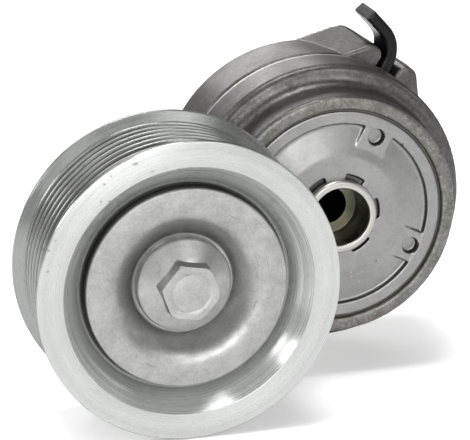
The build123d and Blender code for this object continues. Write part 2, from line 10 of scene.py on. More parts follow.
import bmesh
import bpy
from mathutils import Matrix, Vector

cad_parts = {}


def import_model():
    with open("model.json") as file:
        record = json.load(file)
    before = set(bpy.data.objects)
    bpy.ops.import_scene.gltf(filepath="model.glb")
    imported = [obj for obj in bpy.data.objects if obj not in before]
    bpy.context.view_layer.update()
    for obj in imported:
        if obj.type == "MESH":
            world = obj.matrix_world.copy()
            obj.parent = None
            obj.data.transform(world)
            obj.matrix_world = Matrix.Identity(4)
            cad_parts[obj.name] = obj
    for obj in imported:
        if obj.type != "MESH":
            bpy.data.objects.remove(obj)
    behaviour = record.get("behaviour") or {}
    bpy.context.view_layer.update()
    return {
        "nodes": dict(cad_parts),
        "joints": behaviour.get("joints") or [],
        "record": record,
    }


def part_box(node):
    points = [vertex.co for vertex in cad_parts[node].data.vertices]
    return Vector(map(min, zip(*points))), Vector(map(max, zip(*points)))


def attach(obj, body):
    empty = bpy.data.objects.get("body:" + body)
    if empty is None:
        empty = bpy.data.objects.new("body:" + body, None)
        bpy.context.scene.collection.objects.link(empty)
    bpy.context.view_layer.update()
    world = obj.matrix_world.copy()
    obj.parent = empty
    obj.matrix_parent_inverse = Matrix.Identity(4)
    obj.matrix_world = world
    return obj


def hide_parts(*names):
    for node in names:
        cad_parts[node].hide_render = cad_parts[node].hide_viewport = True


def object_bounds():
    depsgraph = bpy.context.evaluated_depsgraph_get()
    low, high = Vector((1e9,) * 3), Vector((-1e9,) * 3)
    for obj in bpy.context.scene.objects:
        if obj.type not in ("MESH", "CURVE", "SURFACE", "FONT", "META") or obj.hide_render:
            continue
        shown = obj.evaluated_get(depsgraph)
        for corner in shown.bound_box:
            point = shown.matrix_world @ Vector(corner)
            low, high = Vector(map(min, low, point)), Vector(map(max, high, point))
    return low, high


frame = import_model()

MM = 0.001
SEGMENTS = 288
SHARP = radians(40)
BOLT_SHARP = radians(24)
ARC_SHARE = 0.49
WELD_WITHIN = 1e-6
RUB_STRENGTH = 0.5


# ---------------------------------------------------------------------------------- measures
def joint_place(name):
    """Pivot point of a joint in millimetres."""
    found = [joint for joint in frame["joints"] if joint["name"] == name]
    return [v / MM for v in found[0]["pos_m"]]


def stations(node):
    """Rear and front station of a CAD node."""
    low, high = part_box(node)
    return -high[1] / MM, -low[1] / MM


def outer_radius(node):
    """Radius of a round CAD node, from the smaller of its two extents across the axis."""
    low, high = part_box(node)
    return min(high[0] - low[0], high[2] - low[2]) / MM / 2


def reach(node, direction, clear):
    """How far the vertices of a CAD node above a height reach along a direction in XZ."""
    tops = [v.co for v in frame["nodes"][node].data.vertices if v.co.z > clear * MM]
    return max(co.x * direction[0] + co.z * direction[1] for co in tops) / MM


# Axes, as (x, z), and the bearing.
HUB = joint_place("pulley_spin")
PULLEY_AXIS = (HUB[0], HUB[2])
PIVOT_AXIS = (0.0, 0.0)

BEARING_BACK, BEARING_FRONT = stations("bearing_outer_ring")
BEARING_R = outer_radius("bearing_outer_ring")

# The pulley: flanges, V grooves, front funnel, bore with a snap ring groove, rear lip, pocket.
# GAP_R is where the funnel's floor round the cover is painted near black, as shade.
PULLEY_BACK, PULLEY_FRONT = stations("pulley")
PULLEY_MID = (PULLEY_BACK + PULLEY_FRONT) / 2
PULLEY_R = outer_radius("pulley")
GROOVES = 8
GROOVE_PITCH = 3.56
CREST_R = PULLEY_R - 3.0
ROOT_R = CREST_R - 2.8
CREST_HALF = 1.38
CREST_ROUND = 0.22
ROOT_HALF = 0.36
ROOT_ROUND = 0.28
FLANGE_LAND = 1.6
FLANGE_LAND_ROUND = 0.3
FLANGE_FOOT = 2.9
FLANGE_FOOT_ROUND = 0.25
FLANGE_RIM_ROUND = 0.5
FUNNEL_R = 36.1
FUNNEL_KNEE_R = 33.7
FUNNEL_KNEE = PULLEY_FRONT - 3.6
FUNNEL_KNEE_ROUND = 6.0
FUNNEL_FLOOR_R = 30.4
FUNNEL_FLOOR = PULLEY_FRONT - 7.4
GAP_R = 29.7
BORE_R = BEARING_R + 0.02
BORE_MOUTH_R = BEARING_R + 1.5
BORE_MOUTH = FUNNEL_FLOOR - 0.6
SNAP_GROOVE_R = BEARING_R + 1.2
SNAP_GROOVE_FRONT = BEARING_FRONT + 1.3
LIP_R = 21.5
LIP_BACK = BEARING_BACK - 3.6
POCKET_IN_R = 28.4
POCKET_OUT_R = 34.6
POCKET_FLOOR = PULLEY_BACK + 17.0
POCKET_ROUND = 2.0

# The dust cover: the rear skin's slope lies a little outside the front skin's, and scratches
# that run round are spaced as at the middle radius.
COVER_R = outer_radius("dust_cover")
COVER_FRONT = stations("dust_cover")[1]
COVER_T = 0.8
COVER_LIP = 3.2
COVER_HOLE_R = 5.3
COVER_FOOT_R = 14.6
COVER_FOOT_ROUND = 1.0
COVER_DISH_R = 20.6
COVER_SLANT = 0.3
COVER_MID_R = 20.0

# The flange bolt: HEX_FLAT is half of what a wrench spans, HEX_EASE blunts the corners, and
# HEX_MARK is the faint ring on top, as radius and depth below the top.
BOLT_BACK, BOLT_TOP = stations("pulley_bolt")
BOLT_R = 5.0
BOLT_POINT = 0.9
BOLT_FLANGE_R = 13.7
FLANGE_EDGE = BOLT_TOP - 7.6
HEX_BASE = BOLT_TOP - 4.6
HEX_FLAT = 7.5
HEX_CORNER = HEX_FLAT / cos(pi / 6)
HEX_EASE = 0.12
HEX_TURN = radians(-10.0)
HEX_CHAMFER = 0.6
HEX_CHAMFER_STEPS = 8
HEX_TOP_R = 8.05
HEX_FOOT_FLARE = 0.3
HEX_FOOT_SUNK = 0.5
HEX_MARK = ((6.9, 0.0), (5.8, 0.01), (5.5, 0.12), (5.2, 0.13), (4.8, 0.04), (1.5, 0.03))

# The front plate and the tube staked into it.
PLATE_BACK, PLATE_HUB = stations("front_plate")
PLATE_RIM_R = 27.7
STAKE_R = 12.7
TUBE_FRONT = stations("pivot_tube")[1]
STAKED_R = outer_radius("pivot_tube")
TUBE_R = 11.0
SPIGOT_R = TUBE_R - 0.6
HOLE_R = 5.5
COUNTERBORE_R = 8.7
COUNTERBORE_FLOOR = TUBE_FRONT - 12.6

# The drum of housing and arm.  The housing's lugs are on its right, so its left gives its radius.
SEAM_GAP = 0.3
HOUSING_R = -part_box("spring_housing")[0][0] / MM
ARM_BACK = stations("spring_housing")[1] + SEAM_GAP
RING_BORE_R = 31.95
RING_R = 36.1
RING_FRONT = 46.75

# The bare end of the spring's hooked tail, found along the way that it points.
TAIL_HEADING = radians(131.8)
TAIL_DIRECTION = (cos(TAIL_HEADING), sin(TAIL_HEADING))
TAIL_CLEAR = 46.0
TAIL_END = reach("torsion_spring", TAIL_DIRECTION, TAIL_CLEAR)


# ------------------------------------------------------------------------------- mesh making
def rounded(corners, steps):
    """Outline through (radius, station[, round]) corners, each round cut as an arc."""
    points = [Vector(corner[:2]) for corner in corners]
    sizes = [corner[2] if len(corner) > 2 else 0 for corner in corners]
    path = []
    for i, corner in enumerate(points):
        before = points[i - 1] - corner
        after = points[(i + 1) % len(points)] - corner
        if sizes[i] == 0:
            path.append(tuple(corner))
            continue
        half = before.angle(after) / 2
        cut = sizes[i] / tan(half)
        cut = min(cut, ARC_SHARE * before.length, ARC_SHARE * after.length)
        size = cut * tan(half)
        start = corner + before.normalized() * cut
        end = corner + after.normalized() * cut
        inward = (before.normalized() + after.normalized()).normalized()
        middle = corner + inward * size / sin(half)
        for k in range(steps + 1):
            chord = start.lerp(end, k / steps)
            path.append(tuple(middle + (chord - middle).normalized() * size))
    return path


def circle_row(made, radii, station, axis):
    """One row of vertices about an axis parallel to Y, with a radius for each direction."""
    row = []
    for k, r in enumerate(radii):
        turn = 2 * pi * k / len(radii)
        place = (axis[0] + r * cos(turn), -station, axis[1] + r * sin(turn))
        row.append(made.verts.new([v * MM for v in place]))
    return row


def join_rows(made, here, there):
    """Faces between two closed rows; a row of one vertex is a point on the axis."""
    if len(here) == 1 and len(there) == 1:
        return
    for k in range(SEGMENTS):
        after = (k + 1) % SEGMENTS
        if len(here) == 1:
            made.faces.new((here[0], there[k], there[after]))
        elif len(there) == 1:
            made.faces.new((here[k], there[0], here[after]))
        else:
            made.faces.new((here[k], there[k], there[after], here[after]))


def mesh_from(made, name):
    """Turn a finished bmesh into a mesh with its faces outward."""
    bmesh.ops.recalc_face_normals(made, faces=made.faces)
    mesh = bpy.data.meshes.new(name)
    made.to_mesh(mesh)
    made.free()
    return mesh


def lathe_mesh(name, corners, axis, steps=6):
    """Revolve a closed outline about an axis parallel to Y."""
    made = bmesh.new()
    rows = []
    for r, station in rounded(corners, steps):
        count = SEGMENTS if r > 0 else 1
        rows.append(circle_row(made, [r] * count, station, axis))
    for i, row in enumerate(rows):
        join_rows(made, row, rows[(i + 1) % len(rows)])
    return mesh_from(made, name)


def softened_mesh(node, voxel, passes):
    """Even remesh of a CAD solid with its edges rubbed down, as a casting's or a coating's are."""
    copy = bpy.data.objects.new(node + "_soft", frame["nodes"][node].data.copy())
    bpy.context.scene.collection.objects.link(copy)
    weld = copy.modifiers.new("weld", "WELD")
    weld.merge_threshold = WELD_WITHIN
    even = copy.modifiers.new("even", "REMESH")
    even.mode = "VOXEL"
    even.voxel_size = voxel * MM
    rub = copy.modifiers.new("rub", "SMOOTH")
    rub.factor = RUB_STRENGTH
    rub.iterations = passes
    ready = copy.evaluated_get(bpy.context.evaluated_depsgraph_get())
    mesh = bpy.data.meshes.new_from_object(ready)
    bpy.data.objects.remove(copy)
    return mesh


def finish_mesh(name, mesh, body, slot, replaces, sharp=SHARP):
    """Link a mesh as one piece: shading, material, body, slot and the CAD node it stands for."""
    mesh.polygons.foreach_set("use_smooth", [True] * len(mesh.polygons))
    if sharp:
        mesh.set_sharp_from_angle(angle=sharp)
    mesh.materials.clear()
    mesh.materials.append(LOOKS[slot])
    piece = bpy.data.objects.new(name, mesh)
    bpy.context.scene.collection.objects.link(piece)
    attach(piece, body)
    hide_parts(*replaces)


# ----------------------------------------------------------------------------- material tools
def scaled(colour, factor):
    """A colour made darker or lighter."""
    return [min(1.0, v * factor) for v in colour]


class Nodes:
    """Short calls for building a node material."""

    def __init__(self, name):
        self.material = bpy.data.materials.new(name)
        self.material.use_nodes = True
        self.tree = self.material.node_tree
        self.shader = self.tree.nodes["Principled BSDF"]
        self.place = self.node("ShaderNodeTexCoord").outputs["Object"]
        self.x, self.y, self.z = self.node("ShaderNodeSeparateXYZ", Vector=self.place).outputs

    def node(self, kind, **inputs):
        """A new node with the inputs given by name."""
        made = self.tree.nodes.new(kind)
        for key, value in inputs.items():
            self.feed(made.inputs[key], value)
        return made

    def feed(self, socket, value):
        """Link a socket or set its value."""
        if isinstance(value, bpy.types.NodeSocket):
            self.tree.links.new(value, socket)
        else:
            socket.default_value = value

    def maths(self, kind, a, b=0.0):
        """Result of one of Blender's maths operations."""
        made = self.tree.nodes.new("ShaderNodeMath")
        made.operation = kind
        self.feed(made.inputs[0], a)
        self.feed(made.inputs[1], b)
        return made.outputs[0]

    def plus(self, a, b):
        return self.maths("ADD", a, b)

    def minus(self, a, b):
        return self.maths("SUBTRACT", a, b)

    def times(self, a, b):
        return self.maths("MULTIPLY", a, b)

    def larger(self, a, b):
        return self.maths("MAXIMUM", a, b)

    def vector(self, x, y):
        """A flat vector for sampling noise in other coordinates than x, y, z."""
        return self.node("ShaderNodeCombineXYZ", X=x, Y=y, Z=0.0).outputs[0]

    def noise(self, scale, detail=3.0, rough=0.55, at=None, stretch=(1, 1, 1)):
        """Noise between 0 and 1; scale is in features per millimetre."""
        moved = self.node("ShaderNodeMapping", Vector=at or self.place)
        moved.inputs["Scale"].default_value = [s * scale / MM for s in stretch]
        made = self.node("ShaderNodeTexNoise", Vector=moved.outputs[0], Scale=1.0,
                         Detail=detail, Roughness=rough)
        return made.outputs["Fac"]

    def ramp(self, value, low, high, start=0.0, end=1.0):
        """Map a value range onto another, clamped."""
        made = self.node("ShaderNodeMapRange", Value=value)
        for key, number in (("From Min", low), ("From Max", high), ("To Min", start), ("To Max", end)):
            made.inputs[key].default_value = number
        return made.outputs[0]

    def rise(self, length, low, high):
        """0 up to one measure and 1 beyond another, both in millimetres."""
        return self.ramp(length, low * MM, high * MM)

    def fall(self, length, low, high):
        """1 up to one measure and 0 beyond another, both in millimetres."""
        return self.ramp(length, low * MM, high * MM, 1.0, 0.0)

    def mix(self, part, under, over):
        """Blend two colours; part is how much of the second shows."""
        made = self.tree.nodes.new("ShaderNodeMix")
        made.data_type = "RGBA"
        self.feed(made.inputs[0], part)
        for socket, value in ((made.inputs[6], under), (made.inputs[7], over)):
            self.feed(socket, value if isinstance(value, bpy.types.NodeSocket) else (*value, 1.0))
        return made.outputs[2]

    def polar(self, axis):
        """Radius from an axis and station, both in metres."""
        dx = self.minus(self.x, axis[0] * MM)
        dz = self.minus(self.z, axis[1] * MM)
        radius = self.maths("SQRT", self.plus(self.times(dx, dx), self.times(dz, dz)))
        return radius, self.times(self.y, -1.0)

    def bump(self, height, depth, under=None):
        """Bump of a given depth in millimetres, laid over another if one is given."""
        made = self.node("ShaderNodeBump", Height=height, Strength=1.0, Distance=depth * MM)
        if under is not None:
            self.feed(made.inputs["Normal"], under)
        return made.outputs[0]

    def set(self, **values):
        """Set or link inputs of the shader; returns the finished material."""
        for key, value in values.items():
            self.feed(self.shader.inputs[key.replace("_", " ")], value)
        return self.material


# ----------------------------------------------------------------------- materials: the pulley
def sound_metal(n):
    """0 in the small pits on the pulley's upper left, 1 elsewhere."""
    sound = n.ramp(n.noise(0.8, detail=0.0), 0.19, 0.22)
    lean = n.minus(n.minus(n.z, n.x), (PULLEY_AXIS[1] - PULLEY_AXIS[0]) * MM)
    return n.larger(sound, n.fall(lean, 38.0, 50.0))


def groove_shade(n, tone, radius, station):
    """Painted shade: darker groove flanks, dark groove roots and a dark land on the front flange."""
    between = n.times(n.rise(station, PULLEY_BACK + 0.3, PULLEY_BACK + 0.6),
                      n.fall(station, PULLEY_FRONT - 0.6, PULLEY_FRONT - 0.3))
    # Painted shade on the rim's side between the flanges.
    side = n.times(n.rise(radius, ROOT_R - 0.8, ROOT_R - 0.4), between)
    tone = n.mix(n.times(side, 0.7), tone, (0.20, 0.205, 0.196))
    # Painted shade in the groove roots.
    valley_shade = n.times(n.fall(radius, CREST_R - 0.75, CREST_R - 0.12), 0.78)
    tone = n.mix(n.times(valley_shade, side), tone, (0.05, 0.05, 0.048))
    # Painted shade on the front flange's land.
    land = n.times(n.rise(radius, PULLEY_R - 0.3, PULLEY_R - 0.1), between)
    land = n.times(land, n.rise(station, PULLEY_MID, PULLEY_MID + 1.0))
    return n.mix(land, tone, (0.09, 0.09, 0.087))


def turned_metal():
    """Bright machined metal with concentric tool lines, faint bands, rare small pits and painted
    shade.
    """
    n = Nodes("turned_metal")
    radius, station = n.polar(PULLEY_AXIS)
    turned = n.vector(radius, station)
    lines = n.noise(3.2, detail=4.0, rough=0.7, at=turned)
    bands = n.noise(0.45, at=turned)
    cloud = n.noise(0.06, detail=4.0, rough=0.6)
    sound = sound_metal(n)
    tone = n.mix(n.ramp(bands, 0.3, 0.7), (0.375, 0.387, 0.370), (0.465, 0.477, 0.456))
    tone = n.mix(n.ramp(lines, 0.35, 0.65, 0.0, 0.28), tone, (0.57, 0.582, 0.560))
    tone = n.mix(n.ramp(cloud, 0.35, 0.7, 0.0, 0.35), tone, (0.37, 0.38, 0.37))
    tone = n.mix(sound, (0.24, 0.24, 0.235), tone)
    # Painted shade: the funnel's floor round the cover, painted near black.
    gap_shade = n.times(n.fall(radius, GAP_R, GAP_R + 0.7),
                  n.rise(station, FUNNEL_FLOOR - 2.0, FUNNEL_FLOOR - 1.0))
    tone = n.mix(gap_shade, tone, (0.035, 0.035, 0.034))
    tone = groove_shade(n, tone, radius, station)
    metal = n.ramp(radius, (FUNNEL_R - 0.2) * MM, (FUNNEL_R + 0.2) * MM, 0.55, 0.80)
    rough = n.plus(n.ramp(cloud, 0.3, 0.7, 0.22, 0.32), n.ramp(lines, 0.3, 0.7, -0.05, 0.07))
    relief = n.bump(sound, 0.03, n.bump(lines, 0.006))
    tangent = n.node("ShaderNodeTangent")
    tangent.direction_type = "RADIAL"
    tangent.axis = "Y"
    return n.set(Base_Color=tone, Metallic=metal, Roughness=rough, Normal=relief,
                 Anisotropic=0.75, Anisotropic_Rotation=0.25, Tangent=tangent.outputs[0])


def zinc_steel():
    """Zinc-plated steel: mottled, with scuffs across, scratches round and painted shade on the cover
    lip.
    """
    n = Nodes("zinc_steel")
    radius, station = n.polar(PULLEY_AXIS)
    mottle = n.noise(0.22, detail=6.0, rough=0.65)
    speck = n.noise(1.5, detail=4.0, rough=0.65)
    scuff_up = n.noise(0.30, stretch=(5.0, 1.0, 0.30))
    scuff_across = n.noise(0.28, stretch=(0.35, 1.0, 6.0))
    scuff = n.larger(n.ramp(scuff_up, 0.66, 0.72), n.ramp(scuff_across, 0.68, 0.74))
    turn = n.maths("ARCTAN2", n.minus(n.z, PULLEY_AXIS[1] * MM), n.minus(n.x, PULLEY_AXIS[0] * MM))
    swept = n.vector(radius, n.times(turn, COVER_MID_R * MM))
    arcs = n.ramp(n.noise(0.3, at=swept, stretch=(5.0, 0.3, 1.0)), 0.655, 0.69)
    tone = n.mix(n.ramp(mottle, 0.32, 0.68), (0.225, 0.225, 0.222), (0.335, 0.335, 0.329))
    tone = n.mix(n.ramp(speck, 0.35, 0.7, 0.0, 0.4), tone, (0.43, 0.43, 0.42))
    bolt = n.times(n.fall(radius, BOLT_FLANGE_R - 0.3, BOLT_FLANGE_R + 0.1), 0.15)
    tone = n.mix(bolt, tone, (0.50, 0.50, 0.49))
    tone = n.mix(n.times(scuff, 0.22), tone, (0.52, 0.52, 0.51))
    tone = n.mix(n.times(arcs, 0.5), tone, (0.12, 0.12, 0.118))
    # Painted shade: the outside of the cover lip behind its rim, painted near black.
    wall_shade = n.times(n.rise(radius, COVER_R - 0.4, COVER_R - 0.2),
                   n.fall(station, COVER_FRONT - 0.9, COVER_FRONT - 0.5))
    tone = n.mix(wall_shade, tone, (0.04, 0.04, 0.038))
    rough = n.ramp(mottle, 0.3, 0.7, 0.46, 0.33)
    relief = n.bump(scuff, 0.006, n.bump(speck, 0.010))
    return n.set(Base_Color=tone, Metallic=0.9, Roughness=rough, Normal=relief)


# --------------------------------------------------------------------- materials: the castings
def ring_stain(n, tone, grain, radius, station):
    """Brown smears on the face of the arm's ring, darkest along its bore."""
    face = n.times(n.rise(radius, RING_BORE_R - 0.6, RING_BORE_R),
                   n.fall(radius, RING_R - 0.4, RING_R + 0.1))
    face = n.times(face, n.rise(station, RING_FRONT - 0.7, RING_FRONT - 0.2))
    smear = n.noise(0.22, detail=5.0, rough=0.7)
    stain = n.mix(n.ramp(smear, 0.38, 0.62), (0.108, 0.100, 0.088), (0.185, 0.178, 0.167))
    stain = n.mix(n.ramp(grain, 0.5, 0.68, 0.0, 0.55), stain, (0.38, 0.37, 0.355))
    tone = n.mix(n.times(face, 0.85), tone, stain)
    edge = n.times(n.fall(radius, RING_BORE_R, RING_BORE_R + 0.6), 0.7)
    return n.mix(n.times(face, edge), tone, (0.14, 0.118, 0.085))


def seam_highlight(n, tone, radius, station):
    """Painted highlight: a pale band round the arm's drum where it meets the housing."""
    highlight_band = n.times(n.rise(station, ARM_BACK + 0.2, ARM_BACK + 0.4),
                   n.fall(station, ARM_BACK + 2.1, ARM_BACK + 2.4))
    highlight_band = n.times(highlight_band, n.rise(radius, HOUSING_R - 1.6, HOUSING_R - 1.4))
    return n.mix(highlight_band, tone, (0.40, 0.392, 0.35))


def plate_shade_and_soil(n, tone, dark, radius, station):
    """Painted shade on the front plate's step walls and in its stake notches; specks of soil on its
    rim.
    """
    normal = n.node("ShaderNodeNewGeometry").outputs["Normal"]
    facing = n.node("ShaderNodeSeparateXYZ", Vector=normal).outputs[1]
    # Painted shade on faces turned sideways to the front, such as the step walls.
    wall_shade = n.ramp(n.maths("ABSOLUTE", facing), 0.55, 0.88, 0.8, 0.0)
    tone = n.mix(wall_shade, tone, scaled(dark, 0.3))
    # Painted shade in the stake notches round the tube.
    notch_shade = n.times(n.fall(radius, STAKE_R, STAKE_R + 0.2),
                    n.fall(station, PLATE_HUB - 0.5, PLATE_HUB - 0.2))
    tone = n.mix(n.times(notch_shade, 0.8), tone, scaled(dark, 0.3))
    specks = n.times(n.ramp(n.noise(0.8, detail=1.0), 0.23, 0.26, 1.0, 0.0),
                     n.rise(radius, PLATE_RIM_R, PLATE_RIM_R + 0.5))
    return n.mix(n.times(specks, 0.8), tone, scaled(dark, 0.2))


def cast_metal(name, dark, light, smooth, coarse, grain_depth, fleck, drum=False, plate=False):
    """As-cast alloy: grain, cloudiness, pores, worn edges with painted highlight, painted shade in
    corners.
    """
    n = Nodes(name)
    radius, station = n.polar(PIVOT_AXIS)
    grain = n.noise(1.1, detail=6.0, rough=0.75)
    skin = n.noise(0.35, detail=5.0, rough=0.7)
    cloud = n.noise(0.075, detail=4.0, rough=0.6)
    sound = n.ramp(n.noise(0.62, detail=1.0), 0.19, 0.225)
    tone = n.mix(n.ramp(cloud, 0.3, 0.7), dark, light)
    tone = n.mix(n.ramp(skin, 0.40, 0.62, 0.0, fleck), tone, scaled(dark, 0.72))
    tone = n.mix(n.ramp(grain, 0.46, 0.70, 0.0, fleck), tone, scaled(light, 1.6))
    tone = n.mix(sound, scaled(dark, 0.4), tone)
    if drum:
        tone = ring_stain(n, tone, grain, radius, station)
    edge = n.node("ShaderNodeNewGeometry").outputs["Pointiness"]
    # Convex edges lighter: partly wear, partly a painted highlight.
    tone = n.mix(n.ramp(edge, 0.53, 0.62, 0.0, 0.6), tone, scaled(light, 1.6))
    # Painted shade in the hollows and corners.
    tone = n.mix(n.ramp(edge, 0.40, 0.485, 0.75, 0.0), tone, scaled(dark, 0.25))
    # Painted highlight round the drum's seam.
    if drum:
        tone = seam_highlight(n, tone, radius, station)
    # Painted shade and soil on the plate.
    if plate:
        tone = plate_shade_and_soil(n, tone, dark, radius, station)
    rough = n.ramp(cloud, 0.3, 0.7, coarse, smooth)
    relief = n.bump(grain, grain_depth, n.bump(skin, grain_depth * 2.2))
    relief = n.bump(sound, 0.04, relief)
    return n.set(Base_Color=tone, Metallic=0.85, Roughness=rough, Normal=relief)


# ------------------------------------------------------------------------ materials: the rest
def tube_steel():
    """Turned steel tube: bright lip, painted shade in the counterbore and a bolt hole painted black as
    shade.
    """
    n = Nodes("tube_steel")
    radius, station = n.polar(PIVOT_AXIS)
    lines = n.noise(3.0, rough=0.65, at=n.vector(radius, station))
    cloud = n.noise(0.25, detail=4.0, rough=0.6)
    tone = n.mix(n.ramp(lines, 0.3, 0.7), (0.30, 0.295, 0.275), (0.50, 0.495, 0.465))
    # Painted shade on the counterbore's side, mottled.
    wall_shade = n.times(n.fall(radius, COUNTERBORE_R + 0.3, COUNTERBORE_R + 0.7),
                   n.fall(station, TUBE_FRONT - 1.0, TUBE_FRONT - 0.2))
    bore_shade = n.mix(n.ramp(cloud, 0.35, 0.7), (0.075, 0.071, 0.055), (0.20, 0.187, 0.14))
    tone = n.mix(wall_shade, tone, bore_shade)
    # Painted shade on the counterbore's ledge, lighter than on its side.
    ledge = n.times(n.rise(radius, HOLE_R + 0.1, HOLE_R + 0.4),
                    n.fall(radius, COUNTERBORE_R - 0.4, COUNTERBORE_R - 0.1))
    tone = n.mix(n.times(ledge, 0.75), tone, (0.17, 0.16, 0.122))
    # Painted shade: the bolt hole painted near black, with its reflection taken away.
    hole = n.fall(radius, HOLE_R, HOLE_R + 0.25)
    tone = n.mix(hole, tone, (0.006, 0.006, 0.007))
    steel = n.minus(1.0, hole)
    rough = n.ramp(cloud, 0.3, 0.7, 0.26, 0.40)
    return n.set(Base_Color=tone, Metallic=steel, Roughness=rough,
                 Specular_IOR_Level=n.times(steel, 0.5), Normal=n.bump(lines, 0.010))


def plain_metal(name, colour, rough, depth=0.005, scale=2.0):
    """Ground or plated metal with a faint cloud and fine grain."""
    n = Nodes(name)
    cloud = n.noise(0.15, detail=4.0)
    grain = n.noise(scale)
    tone = n.mix(n.ramp(cloud, 0.3, 0.7), scaled(colour, 0.82), colour)
    tone = n.mix(n.ramp(grain, 0.4, 0.75, 0.0, 0.3), tone, scaled(colour, 1.3))
    rough = n.ramp(cloud, 0.3, 0.7, rough * 0.8, rough * 1.2)
    return n.set(Base_Color=tone, Metallic=1.0, Roughness=rough, Normal=n.bump(grain, depth))


def black_coating():
    """Black dip coating on spring steel, with orange peel, rubbed specks and a bare cut end."""
    n = Nodes("black_spring_steel")
    peel = n.noise(0.5)
    grit = n.noise(1.4, detail=4.0, rough=0.7)
    speck = n.ramp(n.noise(1.1, rough=0.7), 0.66, 0.71)
    along = n.plus(n.times(n.x, TAIL_DIRECTION[0]), n.times(n.z, TAIL_DIRECTION[1]))
    cut = n.times(n.rise(along, TAIL_END - 0.45, TAIL_END - 0.30),
                  n.rise(n.z, TAIL_CLEAR, TAIL_CLEAR + 0.5))
    bare = n.mix(n.ramp(grit, 0.35, 0.65), (0.020, 0.020, 0.020), (0.055, 0.054, 0.052))
    tone = n.mix(speck, (0.004, 0.004, 0.005), (0.035, 0.035, 0.035))
    tone = n.mix(cut, tone, bare)
    rough = n.larger(n.ramp(n.noise(0.12, detail=4.0), 0.3, 0.7, 0.24, 0.36), n.times(cut, 0.62))
    return n.set(Base_Color=tone, Metallic=0.0, Roughness=rough, Normal=n.bump(peel, 0.03),
                 Specular_IOR_Level=0.17, Coat_Weight=0.03, Coat_Roughness=0.12)


def moulded(name, dark, light, rough):
    """Moulded polymer or rubber with a fine grain."""
    n = Nodes(name)
    grain = n.noise(2.2)
    cloud = n.noise(0.2)
    tone = n.mix(n.ramp(cloud, 0.3, 0.7), dark, light)
    rough = n.ramp(grain, 0.3, 0.7, rough * 0.9, rough * 1.1)
    return n.set(Base_Color=tone, Metallic=0.0, Roughness=rough, Normal=n.bump(grain, 0.012))


LOOKS = {
    "turned_metal": turned_metal(),
    "zinc_steel": zinc_steel(),
    "cast_aluminium": cast_metal("cast_aluminium", (0.072, 0.070, 0.067), (0.125, 0.122, 0.117),
                                 smooth=0.32, coarse=0.44, grain_depth=0.03, fleck=0.55, drum=True),
    "plate_casting": cast_metal("plate_casting", (0.215, 0.215, 0.209), (0.262, 0.262, 0.255),
                                smooth=0.30, coarse=0.38, grain_depth=0.003, fleck=0.22, plate=True),
    "tube_steel": tube_steel(),
    "plain_steel": plain_metal("plain_steel", (0.52, 0.52, 0.51), 0.30),
    "bearing_steel": plain_metal("bearing_steel", (0.66, 0.67, 0.67), 0.16, depth=0.002, scale=3.0),
    "bronze": plain_metal("bronze", (0.48, 0.29, 0.11), 0.32),
    "black_spring_steel": black_coating(),
    "brown_polymer": moulded("brown_polymer", (0.042, 0.033, 0.025), (0.072, 0.056, 0.040), 0.5),
    "black_polymer": moulded("black_polymer", (0.018, 0.018, 0.019), (0.035, 0.035, 0.036), 0.45),
    "seal_rubber": moulded("seal_rubber", (0.012, 0.012, 0.013), (0.028, 0.028, 0.03), 0.6),
}
for part in frame["record"]["subparts"]:
    slots = frame["nodes"][part["node"]].data.materials
    slots.clear()
    slots.append(LOOKS[part["material_slot"]])


# --------------------------------------------------------------------------- pulley assembly
def grooves():
    """Corners of the V grooves, from the rear to the front."""
    corners = []
    for i in range(GROOVES):
        middle = PULLEY_MID + (i - (GROOVES - 1) / 2) * GROOVE_PITCH
        corners += [(CREST_R, middle - CREST_HALF, CREST_ROUND),
                    (ROOT_R, middle - ROOT_HALF, ROOT_ROUND),
                    (ROOT_R, middle + ROOT_HALF, ROOT_ROUND),
                    (CREST_R, middle + CREST_HALF, CREST_ROUND)]
    return corners


def pulley():
    """Rim with rounded grooves and flanges, front funnel, bearing bore, rear lip and pocket."""
    front_flange = [(CREST_R, PULLEY_FRONT - FLANGE_FOOT, FLANGE_FOOT_ROUND),
                    (PULLEY_R, PULLEY_FRONT - FLANGE_LAND, FLANGE_LAND_ROUND),
                    (PULLEY_R, PULLEY_FRONT, FLANGE_RIM_ROUND)]
    funnel = [(FUNNEL_R, PULLEY_FRONT, 0.35), (FUNNEL_KNEE_R, FUNNEL_KNEE, FUNNEL_KNEE_ROUND),
              (FUNNEL_FLOOR_R, FUNNEL_FLOOR, 1.0)]
    bore = [(BORE_MOUTH_R, FUNNEL_FLOOR, 0.2), (BORE_R, BORE_MOUTH, 0.2),
            (BORE_R, SNAP_GROOVE_FRONT), (SNAP_GROOVE_R, SNAP_GROOVE_FRONT),
            (SNAP_GROOVE_R, BEARING_FRONT), (BORE_R, BEARING_FRONT), (BORE_R, BEARING_BACK)]
    back = [(LIP_R, BEARING_BACK), (LIP_R, LIP_BACK, 0.4), (POCKET_IN_R, LIP_BACK, 0.8),
            (POCKET_IN_R, POCKET_FLOOR, POCKET_ROUND), (POCKET_OUT_R, POCKET_FLOOR, POCKET_ROUND),
            (POCKET_OUT_R, PULLEY_BACK, 0.4)]
    rear_flange = [(PULLEY_R, PULLEY_BACK, FLANGE_RIM_ROUND),
                   (PULLEY_R, PULLEY_BACK + FLANGE_LAND, FLANGE_LAND_ROUND),
                   (CREST_R, PULLEY_BACK + FLANGE_FOOT, FLANGE_FOOT_ROUND)]
    corners = grooves() + front_flange + funnel + bore + back + rear_flange
    mesh = lathe_mesh("pulley_rim", corners, PULLEY_AXIS, steps=4)
    finish_mesh("pulley_rim", mesh, "pulley", "turned_metal", ["pulley"])


